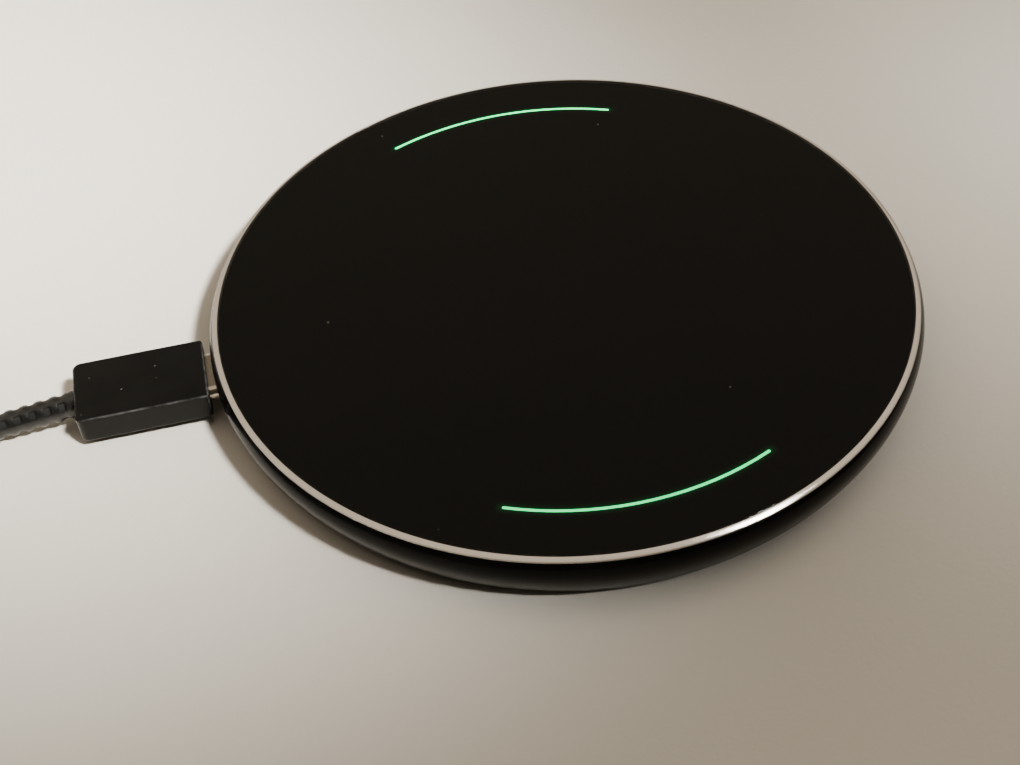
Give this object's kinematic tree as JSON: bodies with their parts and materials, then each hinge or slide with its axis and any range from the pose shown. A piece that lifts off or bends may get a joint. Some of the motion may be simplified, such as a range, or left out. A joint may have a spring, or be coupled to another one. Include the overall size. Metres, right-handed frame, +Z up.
{
  "type": "wireless charging pad",
  "caption": "Round low wireless charging pad with a black glass top, thin metal ring, lit arc lines and a plug-in supply lead.",
  "frame": {"origin": "on the resting plane, at the centre of the round pad", "axes": "+Z up out of the glass; the port and its lead are towards -X; the two light lines are towards +Y and -Y"},
  "size_m": [0.1856, 0.1103, 0.0085],
  "materials": {
    "shell_black": "satin moulded plastic",
    "foot_rubber": "matte",
    "screw_steel": "zinc plated",
    "board_green": "solder resist",
    "port_steel": "drawn",
    "port_black": "moulded",
    "contact_gold": "gold plated",
    "chip_black": "moulded epoxy",
    "inductor_grey": "pressed powder",
    "capacitor_tan": "fired ceramic",
    "led_body": "phosphor cover",
    "carrier_grey": "moulded",
    "tape_white": "film",
    "ferrite_dark": "sintered",
    "coil_copper": "enamelled strands",
    "sensor_brown": "dipped bead",
    "guide_green": "lit clear plastic",
    "ring_aluminium": "turned",
    "mask_black": "printed",
    "glass_clear": "polished",
    "plug_black": "worn satin",
    "plug_steel": "satin plate",
    "cord_black": "satin sleeve",
    "tie_black": "hook and loop",
    "insert_white": "moulded"
  },
  "bodies": {
    "pad": {"bottom_shell": "shell_black", "rubber_feet": "foot_rubber", "case_screws": "screw_steel", "main_board": "board_green", "board_screws": "screw_steel", "usb_socket_shell": "port_steel", "usb_socket_tongue": "port_black", "usb_socket_contacts": "contact_gold", "controller_chip": "chip_black", "bridge_chips": "chip_black", "power_inductor": "inductor_grey", "resonant_capacitors": "capacitor_tan", "input_capacitors": "capacitor_tan", "small_components": "chip_black", "indicator_leds": "led_body", "coil_carrier": "carrier_grey", "ferrite_tape": "tape_white", "ferrite_disc": "ferrite_dark", "charging_coil": "coil_copper", "coil_leads": "coil_copper", "temperature_sensor": "sensor_brown", "light_guide_front": "guide_green", "light_guide_rear": "guide_green", "metal_ring": "ring_aluminium", "glass_adhesive": "tape_white", "mask_film": "mask_black", "top_glass": "glass_clear"},
    "cable": {"plug_housing": "plug_black", "plug_shell": "plug_steel", "plug_insert": "port_black", "plug_contacts": "contact_gold", "strain_relief": "cord_black", "cord": "cord_black", "cord_coil": "cord_black", "cord_end": "cord_black", "cord_tie": "tie_black", "supply_relief": "cord_black", "supply_housing": "plug_black", "supply_shell": "plug_steel", "supply_insert": "insert_white", "supply_contacts": "contact_gold"}
  },
  "joints": [
    {"name": "plug_pull", "type": "slide", "parent": "pad", "child": "cable", "axis": [-1, 0, 0], "range_m": [0, 0.012]}
  ]
}
